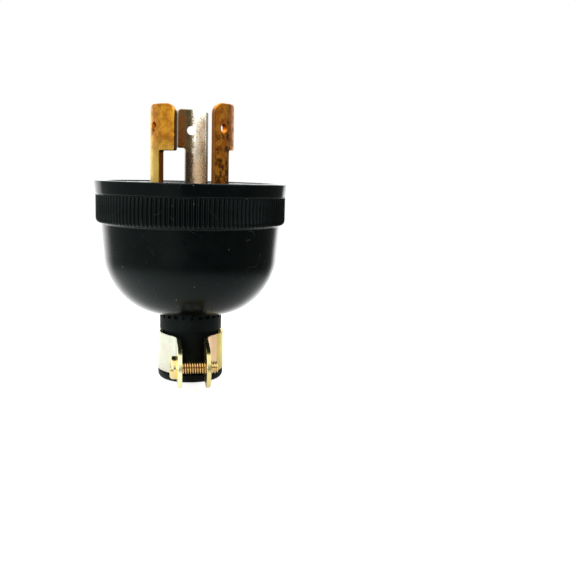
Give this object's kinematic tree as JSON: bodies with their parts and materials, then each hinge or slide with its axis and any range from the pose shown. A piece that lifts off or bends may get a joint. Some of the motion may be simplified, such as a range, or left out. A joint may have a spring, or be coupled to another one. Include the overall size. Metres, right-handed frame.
{
  "type": "three-pin locking plug",
  "caption": "Locking mains plug: curved hooked blades on a ringed face, a bell cover with a knurled grip, and a rubber cord bush held by a screwed strap clamp.",
  "frame": {"origin": "centre of the cord bush's end, which the plug stands on", "axes": "+Z along the plug's axis towards the blades, +Y along the clamp's ears"},
  "size_m": [0.056, 0.056, 0.0803],
  "materials": {
    "front_phenolic": "moulded gloss black",
    "cover_phenolic": "moulded satin black",
    "bush_rubber": "matt black rubber",
    "blade_brass": "brass with brown patina",
    "blade_nickel": "worn nickel plate",
    "strap_zinc": "yellow passivated zinc",
    "screw_zinc": "yellow passivated zinc",
    "retainer_fibre": "red-brown fibre",
    "inner_steel": "zinc plate",
    "terminal_brass": "bright brass"
  },
  "bodies": {
    "root": {"front_body": "front_phenolic", "bell_cover": "cover_phenolic", "cord_bush": "bush_rubber", "line_blade_left": "blade_brass", "line_blade_right": "blade_brass", "earth_blade": "blade_nickel", "clamp_strap_left": "strap_zinc", "clamp_strap_right": "strap_zinc", "clamp_screws": "screw_zinc", "blade_retainer": "retainer_fibre", "retainer_screws": "inner_steel", "line_saddle_left": "terminal_brass", "line_saddle_right": "terminal_brass", "earth_saddle": "terminal_brass", "line_terminal_screws": "terminal_brass", "earth_terminal_screw": "inner_steel"}
  },
  "joints": []
}
